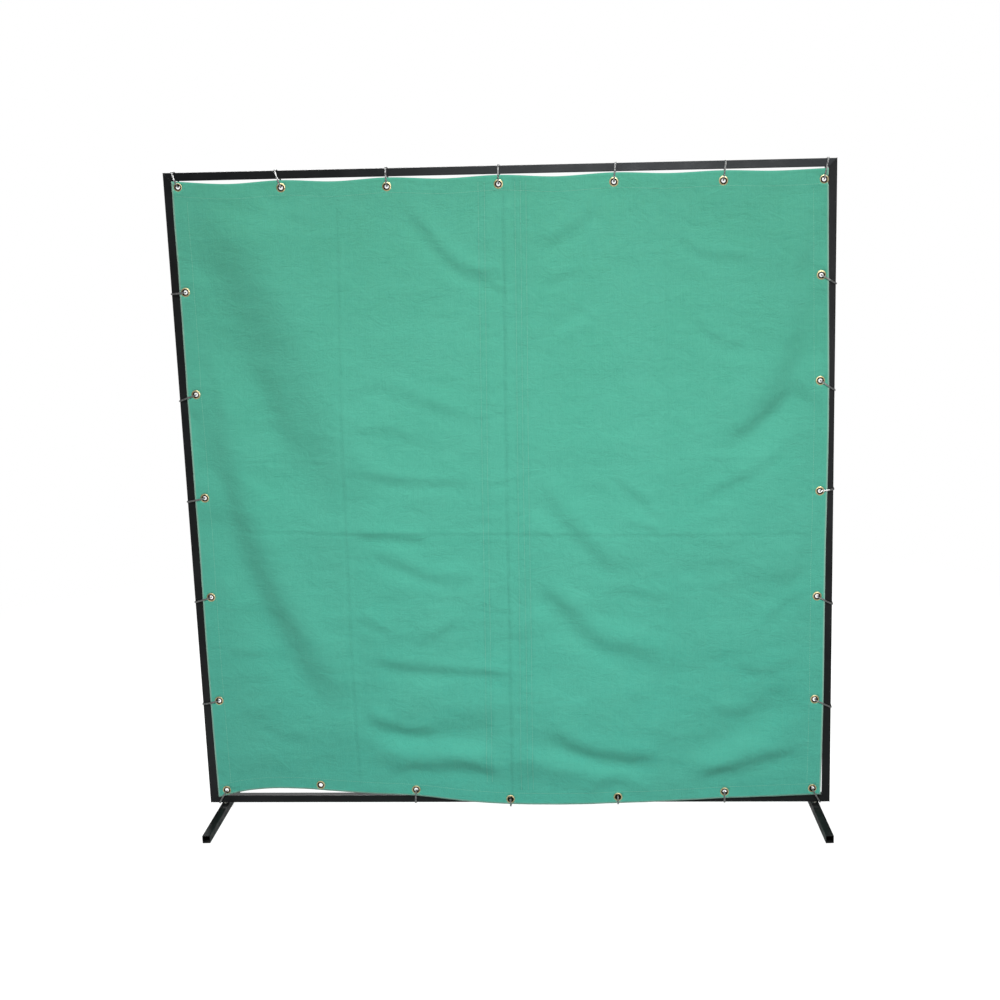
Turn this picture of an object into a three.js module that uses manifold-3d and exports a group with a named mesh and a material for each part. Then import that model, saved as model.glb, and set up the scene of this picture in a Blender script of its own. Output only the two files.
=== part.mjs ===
// Free-standing welding curtain screen: a six-foot square frame of black square tube on two swivelling
// feet, with a green canvas curtain tied into it by its brass grommets.
// Millimetres. +Z is up, -Y is the front, and the origin is on the floor under the frame's centre.

import * as THREE from "three";
import { mergeVertices } from "three/addons/utils/BufferGeometryUtils.js";
import Module from "manifold-3d";

const wasm = await Module();
wasm.setup();

// Driving dimensions
const frameSize = 1828.8;
const tubeSize = 22.2;
const tubeWall = 1.5;
const tubeCorner = 1.6;
const gap = 0.3;

const footLength = 482.6;
const footInset = 43;
// How far each foot is swung from square to the screen, in degrees, seen from above.
const footSwing = { left: 2.5, right: 4.5 };
const spacerRadius = 8;
const spacerThickness = 3.2;
const boltRadius = 3;
const boltHeadRadius = 5.6;
const boltHeadHeight = 3.3;
const boltHoleRadius = 3.5;
const nutRadius = 5.8;
const nutHeight = 5;
const socketHoleRadius = 6.8;

const clothThickness = 1.2;
const grommetHole = 5.6;
const grommetBarrel = 6.4;
const grommetRim = 12.8;
const grommetFlange = 0.7;

const wireRadius = 1.4;
const wireSides = 6;
const wireBend = 3;
const twistRadius = 2.7;
const twistLength = 15;

// Levels and planes that follow from them
const halfFrame = frameSize / 2;
const halfTube = tubeSize / 2;
const frameBottom = tubeSize + spacerThickness + 2 * gap;
const pivotX = halfFrame - footInset;
const wireReach = wireRadius + gap;
const wireBehind = -halfTube - wireReach;
const flangeBack = wireBehind - wireReach;
const clothBack = flangeBack - grommetFlange - gap;
const clothMiddle = clothBack - clothThickness / 2;
const flangeFront = clothBack - clothThickness - gap - grommetFlange;
const wireFront = flangeFront - wireReach;

// The four sides, clockwise. In a side's own frame +X points in from the frame's outer edge, +Y back and
// +Z along the side. A grommet is [place along the side, inset from the outer edge, lean of its wire],
// with the lean in degrees and null where the grommet has no wire. The margin is how far the wire runs
// over the curtain before it bends back past the curtain's edge.
const sides = {
  left: {
    turn: 0,
    margin: 26,
    grommets: [[-595, 50, -13], [-282, 49, -17], [10, 52, -12], [306, 49, -20], [591, 41, -6]],
  },
  top: {
    turn: Math.PI / 2,
    margin: 21,
    grommets: [
      [-873, 39, -22], [-589, 46, -19], [-299, 49, -3], [5, 49, 0], [317, 50, 6], [611, 53, 8], [879, 55, 12],
    ],
  },
  right: {
    turn: Math.PI,
    margin: 25,
    grommets: [[-606, 40, 30], [-319, 40, 34], [-10, 38, -6], [293, 43, 29], [599, 47, 28]],
  },
  bottom: {
    turn: -Math.PI / 2,
    margin: 22,
    grommets: [
      [-863, 44, -27], [-609, 34, 0], [-298, 18, 0], [18, 12, 0], [296, 42, 5], [579, 57, null],
      [861, 42, 31],
    ],
  },
};

// The hanging curtain's outline from the frame's bottom centre: it sags between its upper grommets, and
// its lower edge rises to the left, where one grommet hangs free.
const curtainTop = [
  [-890, 1806], [-732, 1797], [-589, 1801], [-444, 1793], [-299, 1799], [-147, 1793], [5, 1799],
  [161, 1793], [317, 1798], [464, 1792], [611, 1798], [745, 1793], [891, 1797],
];
const curtainRight = [[894, 1560], [899, 1130], [894, 720], [892, 281], [887, 25]];
const curtainBottom = [
  [609, 14], [298, -1], [-10, -6], [-150, 6], [-400, 29], [-560, 40], [-700, 46], [-887, 20],
];
const curtainLeft = [[-890, 289], [-890, 742], [-891, 1178], [-890, 1480], [-890, 1806]];

const blackPaint = () => new THREE.MeshStandardMaterial({ color: 0x202224, roughness: 0.5, metalness: 0.3 });
const greenCanvas = () => new THREE.MeshStandardMaterial({ color: 0x50ae94, roughness: 0.95, metalness: 0 });
const brass = () => new THREE.MeshStandardMaterial({ color: 0xc2a35a, roughness: 0.35, metalness: 1 });
const nylon = () => new THREE.MeshStandardMaterial({ color: 0xe9e6dd, roughness: 0.45, metalness: 0 });
const zinc = () => new THREE.MeshStandardMaterial({ color: 0xb4b7ba, roughness: 0.35, metalness: 1 });

const model = new THREE.Group();

function addPart(parent, name, geometry, material) {
  const mesh = new THREE.Mesh(geometry, material);
  mesh.name = name;
  parent.add(mesh);
  return mesh;
}

function toSolid(geometry) {
  const bare = geometry.index ? geometry.toNonIndexed() : geometry.clone();
  bare.deleteAttribute("normal");
  bare.deleteAttribute("uv");
  const merged = mergeVertices(bare, 1e-4);
  return new wasm.Manifold(new wasm.Mesh({
    numProp: 3,
    vertProperties: new Float32Array(merged.attributes.position.array),
    triVerts: new Uint32Array(merged.index.array),
  }));
}

function toGeometry(solid) {
  const mesh = solid.getMesh();
  const geometry = new THREE.BufferGeometry();
  geometry.setAttribute("position", new THREE.BufferAttribute(new Float32Array(mesh.vertProperties), 3));
  geometry.setIndex(new THREE.BufferAttribute(new Uint32Array(mesh.triVerts), 1));
  geometry.computeVertexNormals();
  return geometry;
}

// Closed outline through the corners, each rounded off.
function roundedOutline(target, corners, radius) {
  const count = corners.length;
  corners.forEach((corner, i) => {
    const before = corners[(i + count - 1) % count];
    const after = corners[(i + 1) % count];
    const start = corner.clone().lerp(before, radius / corner.distanceTo(before));
    const end = corner.clone().lerp(after, radius / corner.distanceTo(after));
    if (i === 0) target.moveTo(start.x, start.y);
    else target.lineTo(start.x, start.y);
    target.quadraticCurveTo(corner.x, corner.y, end.x, end.y);
  });
  target.closePath();
  return target;
}

function squareCorners(half) {
  const corners = [[-half, -half], [half, -half], [half, half], [-half, half]];
  return corners.map(([x, y]) => new THREE.Vector2(x, y));
}

// Square tube along +Z from z = 0, with both ends cut square.
function squareTube(length) {
  const section = roundedOutline(new THREE.Shape(), squareCorners(halfTube), tubeCorner);
  section.holes.push(roundedOutline(new THREE.Path(), squareCorners(halfTube - tubeWall), tubeCorner / 2));
  return new THREE.ExtrudeGeometry(section, { depth: length, bevelEnabled: false, curveSegments: 3 });
}

// A side of the frame: a tube along +Z with both ends mitred, its outer face at x = -halfFrame.
function mitredTube() {
  const geometry = squareTube(frameSize);
  const position = geometry.attributes.position;
  for (let i = 0; i < position.count; i += 1) {
    const cut = position.getX(i) + halfTube + gap / Math.SQRT2;
    const atStart = position.getZ(i) < halfFrame;
    position.setZ(i, position.getZ(i) + (atStart ? cut : -cut));
  }
  return geometry.translate(halfTube - halfFrame, 0, -halfFrame);
}

// Upright cylinder whose lower end is at z = bottom.
function uprightCylinder(radius, height, x, bottom, segments = 20) {
  const geometry = new THREE.CylinderGeometry(radius, radius, height, segments);
  return geometry.rotateX(Math.PI / 2).translate(x, 0, bottom + height / 2);
}

// Frame
const frame = new THREE.Group();
frame.position.z = frameBottom + halfFrame;
model.add(frame);

const sideGroups = {};
for (const [name, side] of Object.entries(sides)) {
  sideGroups[name] = new THREE.Group();
  sideGroups[name].rotation.y = side.turn;
  frame.add(sideGroups[name]);
}
addPart(sideGroups.left, "left_post", mitredTube(), blackPaint());
addPart(sideGroups.top, "top_rail", mitredTube(), blackPaint());
addPart(sideGroups.right, "right_post", mitredTube(), blackPaint());

function boredBottomRail() {
  let rail = toSolid(mitredTube());
  for (const place of [-pivotX, pivotX]) {
    const drill = new THREE.CylinderGeometry(boltHoleRadius, boltHoleRadius, 2 * tubeSize, 20);
    drill.rotateZ(Math.PI / 2).translate(halfTube - halfFrame, 0, place);
    rail = rail.subtract(toSolid(drill));
  }
  return toGeometry(rail);
}
addPart(sideGroups.bottom, "bottom_rail", boredBottomRail(), blackPaint());

// Feet and their pivots
function boredFoot() {
  const tube = squareTube(footLength).translate(0, 0, -footLength / 2).rotateX(Math.PI / 2);
  const boltHole = uprightCylinder(boltHoleRadius, tubeSize, 0, 0);
  const socketHole = uprightCylinder(socketHoleRadius, tubeSize, 0, -tubeSize);
  return toGeometry(toSolid(tube).subtract(toSolid(boltHole)).subtract(toSolid(socketHole)));
}

// Button-head bolt, head down on z = 0 and shank below it.
function buttonHeadBolt(shankLength) {
  const profile = [
    [0, -shankLength], [boltRadius - 0.5, -shankLength], [boltRadius, 0.5 - shankLength], [boltRadius, 0],
    [boltHeadRadius, 0], [boltHeadRadius, 0.8], [boltHeadRadius * 0.8, boltHeadHeight * 0.7],
    [boltHeadRadius * 0.4, boltHeadHeight], [0, boltHeadHeight],
  ];
  const points = profile.map(([r, z]) => new THREE.Vector2(r, z));
  return new THREE.LatheGeometry(points, 20).rotateX(Math.PI / 2);
}

function ring(innerRadius, outerRadius, height, segments) {
  const shape = new THREE.Shape().absarc(0, 0, outerRadius, 0, 2 * Math.PI);
  shape.holes.push(new THREE.Path().absarc(0, 0, innerRadius, 0, 2 * Math.PI, true));
  return new THREE.ExtrudeGeometry(shape, { depth: height, bevelEnabled: false, curveSegments: segments });
}

function hexNut() {
  const block = new THREE.CylinderGeometry(nutRadius, nutRadius, nutHeight, 6).rotateX(Math.PI / 2);
  const boreRadius = boltRadius + gap;
  const bore = new THREE.CylinderGeometry(boreRadius, boreRadius, 2 * nutHeight, 20).rotateX(Math.PI / 2);
  return toGeometry(toSolid(block).subtract(toSolid(bore)));
}

const nutTop = tubeSize - tubeWall - gap;
const boltHeadBottom = frameBottom + tubeSize + gap;
const boltLength = boltHeadBottom - nutTop + nutHeight + 1;
for (const [side, sign] of [["left", -1], ["right", 1]]) {
  const pivot = new THREE.Group();
  pivot.position.x = sign * pivotX;
  model.add(pivot);
  const foot = addPart(pivot, `${side}_foot`, boredFoot(), blackPaint());
  foot.position.z = halfTube;
  foot.rotation.z = THREE.MathUtils.degToRad(footSwing[side]);
  const spacer = ring(boltHoleRadius, spacerRadius, spacerThickness, 12);
  addPart(pivot, `${side}_pivot_spacer`, spacer, nylon()).position.z = tubeSize + gap;
  addPart(pivot, `${side}_pivot_bolt`, buttonHeadBolt(boltLength), zinc()).position.z = boltHeadBottom;
  addPart(pivot, `${side}_pivot_nut`, hexNut(), zinc()).position.z = nutTop - nutHeight / 2;
}

// Curtain
function curtainGeometry() {
  const outline = new THREE.Shape();
  outline.moveTo(...curtainTop[0]);
  for (const edge of [curtainTop.slice(1), curtainRight, curtainBottom, curtainLeft]) {
    outline.splineThru(edge.map(([x, z]) => new THREE.Vector2(x, z)));
  }
  const corner = new THREE.Vector3();
  for (const [name, side] of Object.entries(sides)) {
    for (const [along, inset] of side.grommets) {
      corner.set(inset - halfFrame, 0, along).applyEuler(sideGroups[name].rotation);
      const hole = new THREE.Path();
      hole.absarc(corner.x, corner.z + halfFrame, grommetBarrel + gap, 0, 2 * Math.PI, false);
      outline.holes.push(hole);
    }
  }
  const options = { depth: clothThickness, bevelEnabled: false, curveSegments: 7 };
  return new THREE.ExtrudeGeometry(outline, options).rotateX(Math.PI / 2);
}
const curtain = addPart(model, "curtain", curtainGeometry(), greenCanvas());
curtain.position.set(0, clothBack, frameBottom);

// Grommets
function grommetGeometry() {
  const face = clothThickness / 2 + gap;
  const lip = face + grommetFlange;
  const profile = [
    [grommetHole, -lip], [grommetRim - 0.5, -lip], [grommetRim, -face], [grommetBarrel, -face],
    [grommetBarrel, face], [grommetRim, face], [grommetRim - 0.5, lip], [grommetHole, lip],
    [grommetHole, -lip],
  ];
  return new THREE.LatheGeometry(profile.map(([r, y]) => new THREE.Vector2(r, y)), 12);
}

// Wire ties: a loop through the grommet and round the tube, drawn square to the tube with x = 0 in the
// hole and -x towards the frame's outer edge, y = depth.
function tieCorners(inset, margin) {
  const outer = -inset - wireReach;
  const inner = tubeSize - inset + wireReach;
  const back = halfTube + wireReach;
  const corners = [[0, wireBehind]];
  if (inner > 0) corners.push([Math.max(inner, 6.5), wireBehind]);
  corners.push([inner, back], [outer, back]);
  corners.push(-margin < outer ? [-margin, wireBehind] : [outer, -back]);
  corners.push([-margin, wireFront], [0, wireFront]);
  return corners.map(([x, y]) => new THREE.Vector2(x, y));
}

// Closed loop of round wire through points that lie in one plane.
function wireLoop(points, normal) {
  const position = [];
  const index = [];
  const count = points.length;
  points.forEach((point, i) => {
    const ahead = points[(i + 1) % count].clone().sub(points[(i + count - 1) % count]).normalize();
    const across = new THREE.Vector3().crossVectors(ahead, normal);
    for (let k = 0; k < wireSides; k += 1) {
      const angle = (2 * Math.PI * k) / wireSides;
      const rim = point.clone().addScaledVector(across, wireRadius * Math.cos(angle));
      position.push(...rim.addScaledVector(normal, wireRadius * Math.sin(angle)).toArray());
      const here = i * wireSides;
      const next = ((i + 1) % count) * wireSides;
      const side = (k + 1) % wireSides;
      index.push(here + k, next + k, next + side, here + k, next + side, here + side);
    }
  });
  const geometry = new THREE.BufferGeometry();
  geometry.setAttribute("position", new THREE.Float32BufferAttribute(position, 3));
  geometry.setIndex(index);
  return geometry;
}

// The loop's plane leans along the tube; the twisted ends stand out behind the tube.
function tieGeometry(inset, margin, lean) {
  const outline = roundedOutline(new THREE.Path(), tieCorners(inset, margin), wireBend).getPoints(3);
  const points = outline.slice(0, -1).map(({ x, y }) => new THREE.Vector3(x, y, -x * Math.tan(lean)));
  const normal = new THREE.Vector3(Math.sin(lean), 0, Math.cos(lean));
  const twist = new THREE.CylinderGeometry(twistRadius * 0.7, twistRadius, twistLength, 8);
  const middle = halfTube - inset;
  twist.translate(middle, halfTube + wireReach + twistLength / 2, -middle * Math.tan(lean));
  return toGeometry(toSolid(wireLoop(points, normal)).add(toSolid(twist)));
}

for (const [name, side] of Object.entries(sides)) {
  side.grommets.forEach(([along, inset, leanDegrees], i) => {
    const place = new THREE.Group();
    place.position.set(inset - halfFrame, 0, along);
    sideGroups[name].add(place);
    addPart(place, `${name}_grommet_${i + 1}`, grommetGeometry(), brass()).position.y = clothMiddle;
    if (leanDegrees === null) return;
    const lean = THREE.MathUtils.degToRad(leanDegrees);
    addPart(place, `${name}_wire_tie_${i + 1}`, tieGeometry(inset, side.margin, lean), zinc());
  });
}

export default model;
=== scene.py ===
"""Looks of the free-standing welding curtain screen, built around its CAD. Metres, Z up, front -Y."""
import math
import random

import bpy
import numpy as np
from mathutils import Matrix, Vector


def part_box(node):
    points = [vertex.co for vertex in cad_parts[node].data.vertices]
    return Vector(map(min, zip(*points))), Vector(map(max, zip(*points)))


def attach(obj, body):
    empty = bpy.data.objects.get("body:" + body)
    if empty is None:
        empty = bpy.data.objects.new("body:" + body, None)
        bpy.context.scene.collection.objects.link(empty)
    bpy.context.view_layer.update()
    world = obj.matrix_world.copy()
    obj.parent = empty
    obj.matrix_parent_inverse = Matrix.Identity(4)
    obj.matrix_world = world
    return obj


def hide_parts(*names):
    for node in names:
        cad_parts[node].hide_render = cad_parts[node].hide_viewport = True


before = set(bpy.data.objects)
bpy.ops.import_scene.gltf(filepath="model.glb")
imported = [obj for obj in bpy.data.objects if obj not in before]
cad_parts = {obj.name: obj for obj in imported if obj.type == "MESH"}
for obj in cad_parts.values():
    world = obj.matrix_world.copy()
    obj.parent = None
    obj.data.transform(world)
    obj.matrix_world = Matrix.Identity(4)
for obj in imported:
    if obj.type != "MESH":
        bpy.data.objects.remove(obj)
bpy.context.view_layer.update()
rng = random.Random(11)

# ---------------------------------------------------------------- places read from the CAD
RAIL_LOW, RAIL_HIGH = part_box("bottom_rail")
FRAME_BOTTOM = RAIL_LOW.z
TUBE = RAIL_HIGH.z - RAIL_LOW.z
HALF_TUBE = TUBE / 2
FRAME_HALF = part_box("right_post")[1].x
FRAME_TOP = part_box("top_rail")[1].z
CLOTH_LOW, CLOTH_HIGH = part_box("curtain")
LAYER = (CLOTH_HIGH.y - CLOTH_LOW.y) / 2          # one thickness of canvas; the hems are two
SHEET_Y = CLOTH_LOW.y + LAYER / 2                 # middle of the front layer
HEM_DEPTH = CLOTH_HIGH.y - LAYER / 2 - SHEET_Y    # from the front layer back to the turned-back one

SCREEN = "screen"
SIDES = {"left": 5, "top": 7, "right": 5, "bottom": 7}


def centre(node):
    low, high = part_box(node)
    return (low + high) / 2


GROMMET_NODES = [f"{side}_grommet_{i + 1}" for side, count in SIDES.items() for i in range(count)]
GROMMETS = {node: centre(node) for node in GROMMET_NODES}

# ---------------------------------------------------------------- materials
# Canvas colours. The first two are the canvas at the top and at the bottom of the frame; the top one is painted
# darker, as painted shade.
CANVAS_TOP_PAINTED_SHADE = (0.090, 0.430, 0.280)
CANVAS_LOW = (0.078, 0.480, 0.372)
CANVAS_FADED = (0.118, 0.500, 0.372)
CANVAS_DEEP = (0.060, 0.385, 0.275)
CANVAS_PALE = (0.113, 0.500, 0.370)
CANVAS_PAINTED_SHADE = (0.030, 0.170, 0.120)
CANVAS_EDGE_PALE = (0.55, 0.72, 0.60)
YARN_PITCH = 0.0011                               # between neighbouring yarns, and between plies of thread
BARE_METAL = (0.13, 0.125, 0.12)                  # where enamel is worn through
WORN_EDGE = (HALF_TUBE - 0.0020, HALF_TUBE - 0.0004)
ENAMEL_SPECULAR = 0.28
FOOT_END = (0.19, 0.24)                           # the scuffed end of a foot, out from its pivot
THROAT_SHADE_RADII = (0.0088, 0.0100)                         # a grommet's rolled hole is painted dark within this radius, as painted shade


class Graph:
    """A node tree with short ways to add nodes. Anything given as a socket is linked, the rest is set."""

    def __init__(self, name):
        self.material = bpy.data.materials.new(name)
        self.material.use_nodes = True
        self.tree = self.material.node_tree
        self.tree.nodes.clear()
        self.output = self.tree.nodes.new("ShaderNodeOutputMaterial")
        self.coords = self.tree.nodes.new("ShaderNodeTexCoord").outputs["Object"]

    def feed(self, socket, value):
        if isinstance(value, bpy.types.NodeSocket):
            self.tree.links.new(value, socket)
        elif value is not None:
            socket.default_value = value

    def add(self, kind, inputs=None, **settings):
        node = self.tree.nodes.new(kind)
        for key, value in settings.items():
            setattr(node, key, value)
        for key, value in (inputs or {}).items():
            self.feed(node.inputs[key], value)
        return node

    def math(self, operation, a, b=0.0):
        return self.add("ShaderNodeMath", {0: a, 1: b}, operation=operation).outputs[0]

    def scaled(self, scale, vector=None):
        node = self.add("ShaderNodeMapping", {"Vector": vector or self.coords})
        node.inputs["Scale"].default_value = scale
        return node.outputs["Vector"]

    def noise(self, scale, detail=3.0, rough=0.55, vector=None, distortion=0.0):
        inputs = {"Vector": vector or self.coords, "Scale": scale, "Detail": detail, "Roughness": rough,
                  "Distortion": distortion}
        return self.add("ShaderNodeTexNoise", inputs).outputs["Fac"]

    def between(self, value, low, high, out_low=0.0, out_high=1.0, smooth=True):
        node = self.add("ShaderNodeMapRange", {"Value": value, "From Min": low, "From Max": high,
                                               "To Min": out_low, "To Max": out_high})
        node.interpolation_type = "SMOOTHSTEP" if smooth else "LINEAR"
        return node.outputs["Result"]

    def mix(self, factor, a, b):
        node = self.add("ShaderNodeMix", data_type="RGBA")
        self.feed(node.inputs["Factor"], factor)
        self.feed(node.inputs["A"], a if isinstance(a, bpy.types.NodeSocket) else (*a, 1))
        self.feed(node.inputs["B"], b if isinstance(b, bpy.types.NodeSocket) else (*b, 1))
        return node.outputs["Result"]

    def bump(self, height, distance, strength=1.0, normal=None):
        node = self.add("ShaderNodeBump", {"Height": height, "Distance": distance, "Strength": strength})
        if normal is not None:
            self.feed(node.inputs["Normal"], normal)
        return node.outputs["Normal"]

    def surface(self, **inputs):
        shader = self.add("ShaderNodeBsdfPrincipled")
        for key, value in inputs.items():
            if isinstance(value, tuple) and "Color" in key:
                value = (*value, 1)
            self.feed(shader.inputs[key.replace("_", " ")], value)
        self.tree.links.new(shader.outputs[0], self.output.inputs["Surface"])
        return self.material


def enamel_surface(g, colour, wear, rough):
    """Orange peel all over, and a shallow step where the enamel has worn off."""
    worn = g.mix(g.math("MULTIPLY", wear, 0.50), colour, BARE_METAL)
    peel = g.bump(g.noise(420.0, 2, 0.5), 0.0002, 0.35)
    nicks = g.bump(g.math("SUBTRACT", 1.0, wear), 0.00015, 0.5, peel)
    return g.surface(Base_Color=worn, Roughness=rough, Normal=nicks, Specular_IOR_Level=ENAMEL_SPECULAR)


def black_enamel(name, low, high, painted_reflection_span=None):
    """Satin black enamel on a square tube that fills the given box. It is worn along the long edges, and is
    painted lighter over the given span along the tube, as a painted reflection."""
    g = Graph(name)
    split = g.add("ShaderNodeSeparateXYZ", {0: g.coords})
    size = high - low
    length_axis = max(range(3), key=lambda k: size[k])
    offsets = []
    for k in range(3):
        if k != length_axis:
            from_middle = g.math("SUBTRACT", split.outputs[k], (low[k] + high[k]) / 2)
            offsets.append(g.math("ABSOLUTE", from_middle))
    edge = g.between(g.math("MINIMUM", *offsets), *WORN_EDGE)
    stretch = [60.0, 60.0, 60.0]
    stretch[length_axis] = 9.0
    chips = g.between(g.noise(1.0, 5, 0.65, g.scaled(stretch)), 0.57, 0.66)
    wear = g.math("MULTIPLY", edge, chips)
    dust = g.between(g.noise(3.1, 4, 0.6), 0.35, 0.75)
    mottled = g.mix(dust, (0.0060, 0.0068, 0.0075), (0.0125, 0.0140, 0.0150))
    # Painted reflection: the enamel is painted lighter along part of the tube's length.
    if painted_reflection_span:
        painted_reflection = g.between(split.outputs[length_axis], *painted_reflection_span, 0.0, 0.62)
        mottled = g.mix(painted_reflection, mottled, (0.042, 0.047, 0.052))
    stretch = [26.0, 26.0, 26.0]
    stretch[length_axis] = 210.0
    scuffs = g.between(g.noise(1.0, 6, 0.7, g.scaled(stretch), 0.6), 0.62, 0.72)
    scuffed = g.mix(g.math("MULTIPLY", scuffs, 0.30), mottled, (0.05, 0.052, 0.055))
    satin = g.between(g.noise(14.0, 4, 0.6), 0.3, 0.7, 0.34, 0.46)
    rough = g.math("ADD", satin, g.math("MULTIPLY", scuffs, 0.12))
    return enamel_surface(g, scuffed, wear, rough)


def foot_enamel(name, pivot, swing):
    """The same enamel on a foot that is turned on its pivot by swing degrees, with both ends scuffed."""
    g = Graph(name)
    turned = g.add("ShaderNodeVectorRotate", {"Vector": g.coords, "Center": tuple(pivot), "Axis": (0, 0, 1),
                                              "Angle": -math.radians(swing)})
    split = g.add("ShaderNodeSeparateXYZ", {0: turned.outputs["Vector"]})
    aside = g.math("ABSOLUTE", g.math("SUBTRACT", split.outputs["X"], pivot.x))
    above = g.math("ABSOLUTE", g.math("SUBTRACT", split.outputs["Z"], HALF_TUBE))
    edge = g.between(g.math("MINIMUM", aside, above), *WORN_EDGE)
    chips = g.between(g.noise(1.0, 5, 0.65, g.scaled([60.0, 12.0, 60.0])), 0.54, 0.64)
    ends = g.between(g.math("ABSOLUTE", split.outputs["Y"]), *FOOT_END)
    scraped = g.math("MULTIPLY", ends, g.between(g.noise(95.0, 5, 0.7), 0.56, 0.66))
    wear = g.math("MAXIMUM", g.math("MULTIPLY", edge, chips), g.math("MULTIPLY", scraped, 0.6))
    dust = g.between(g.noise(9.0, 4, 0.6), 0.35, 0.75)
    mottled = g.mix(dust, (0.0065, 0.0072, 0.0075), (0.0150, 0.0160, 0.0160))
    rough = g.between(g.noise(20.0, 4, 0.6), 0.3, 0.7, 0.36, 0.50)
    return enamel_surface(g, mottled, wear, rough)


def canvas(name):
    """Green canvas duck: plain weave with slubs, faint fading, painted shade towards the top and along the lap,
    seams and creases, and pale edges at the sides and bottom.
    """
    g = Graph(name)
    split = g.add("ShaderNodeSeparateXYZ", {0: g.coords})
    x, z = split.outputs["X"], split.outputs["Z"]
    warp_slubs = g.noise(1.0, 3, 0.6, g.scaled([420.0, 1.0, 9.0]))
    weft_slubs = g.noise(1.0, 3, 0.6, g.scaled([9.0, 1.0, 420.0]))
    slubs = g.math("MULTIPLY", g.math("ADD", warp_slubs, weft_slubs), 0.5)
    # Painted shade: the canvas is painted darker towards the top, graded over the frame's height.
    height = g.between(z, FRAME_BOTTOM, FRAME_TOP, smooth=False)
    base = g.mix(height, CANVAS_LOW, CANVAS_TOP_PAINTED_SHADE)
    cloudy = g.noise(3.4, 5, 0.62)
    faded = g.mix(g.between(cloudy, 0.3, 0.72, 0.0, 0.30), base, CANVAS_FADED)
    mottled = g.mix(g.between(g.noise(75.0, 4, 0.7), 0.35, 0.7, 0.0, 0.28), faded, CANVAS_DEEP)
    yarned = g.mix(g.between(slubs, 0.36, 0.64, 0.0, 0.42), mottled, CANVAS_PALE)
    # Painted shade: the canvas is darkened in patches along the lap's edge, the stitch rows and the pressed
    # creases.
    line_shade_amount = g.add("ShaderNodeAttribute", attribute_name="painted_line_shade").outputs["Fac"]
    patchy_line_shade = g.math("MULTIPLY", line_shade_amount, g.between(g.noise(38.0, 4, 0.6), 0.30, 0.62, 0.25, 1.0))
    line_shaded = g.mix(g.math("MULTIPLY", patchy_line_shade, 0.5), yarned, CANVAS_PAINTED_SHADE)
    # The canvas is paler along its cut edges at the sides and bottom.
    edge = g.add("ShaderNodeAttribute", attribute_name="edge_paleness").outputs["Fac"]
    colour = g.mix(g.math("MULTIPLY", edge, 0.62), line_shaded, CANVAS_EDGE_PALE)
    weft = g.math("SINE", g.math("MULTIPLY", z, math.tau / YARN_PITCH))
    warp = g.math("SINE", g.math("MULTIPLY", x, math.tau / YARN_PITCH))
    weave = g.math("MULTIPLY", weft, warp)
    woven = g.bump(weave, 0.00022, 0.55)
    slubby = g.bump(slubs, 0.0011, 0.5, woven)
    crumpled = g.bump(g.noise(15.0, 7, 0.68, g.scaled([1.0, 1.0, 1.45]), 0.5), 0.0085, 0.5, slubby)
    rough = g.between(slubs, 0.3, 0.7, 0.86, 0.97)
    return g.surface(Base_Color=colour, Roughness=rough, Normal=crumpled, Specular_IOR_Level=0.25,
                     Sheen_Weight=0.12, Sheen_Roughness=0.5)


def thread(name, colour, tint):
    """Plied sewing thread, with its plies running across the diagonal."""
    g = Graph(name)
    split = g.add("ShaderNodeSeparateXYZ", {0: g.coords})
    diagonal = g.math("ADD", split.outputs["X"], split.outputs["Z"])
    ply = g.math("SINE", g.math("MULTIPLY", diagonal, math.tau / YARN_PITCH))
    shade = g.mix(g.between(g.noise(160.0, 3), 0.3, 0.7), colour, tint)
    return g.surface(Base_Color=shade, Roughness=0.7, Normal=g.bump(ply, 0.0002, 0.6), Sheen_Weight=0.2)


def brass(name):
    """Tarnished brass with painted shade, dark and not metallic, in the rolled hole. Each grommet's own centre
    is its origin.
    """
    g = Graph(name)
    split = g.add("ShaderNodeSeparateXYZ", {0: g.coords})
    squares = [g.math("POWER", split.outputs[axis], 2.0) for axis in "XZ"]
    radius = g.math("SQRT", g.math("ADD", *squares))
    tarnish = g.between(g.noise(130.0, 5, 0.65), 0.40, 0.66)
    colour = g.mix(tarnish, (0.95, 0.84, 0.50), (0.62, 0.50, 0.25))
    # Painted shade: the rolled hole is painted near black and made not metallic.
    uneven = g.math("ADD", radius, g.between(g.noise(210.0, 3), 0.3, 0.7, -0.0006, 0.0006))
    painted_throat_shade = g.between(uneven, *THROAT_SHADE_RADII, 1.0, 0.0)
    throat_darkened = g.mix(painted_throat_shade, colour, (0.012, 0.008, 0.004))
    polish = g.between(g.noise(300.0, 4), 0.3, 0.7, 0.36, 0.50)
    rough = g.math("ADD", polish, g.math("MULTIPLY", painted_throat_shade, 0.3))
    dents = g.bump(g.noise(520.0, 3), 0.00025, 0.35)
    metal = g.between(painted_throat_shade, 0.0, 1.0, 1.0, 0.0, smooth=False)
    return g.surface(Base_Color=throat_darkened, Metallic=metal, Roughness=rough, Normal=dents, Specular_IOR_Level=0.1)


def natural_nylon(name):
    """Undyed nylon, slightly translucent and grubby."""
    g = Graph(name)
    colour = g.mix(g.between(g.noise(60.0, 4), 0.3, 0.7), (0.80, 0.79, 0.74), (0.66, 0.64, 0.57))
    grain = g.bump(g.noise(700.0, 2), 0.0001, 0.3)
    rough = g.between(g.noise(90.0, 3), 0.3, 0.7, 0.32, 0.46)
    return g.surface(Base_Color=colour, Roughness=rough, Normal=grain, Subsurface_Weight=0.15,
                     Subsurface_Radius=(0.002, 0.002, 0.0015))


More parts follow.
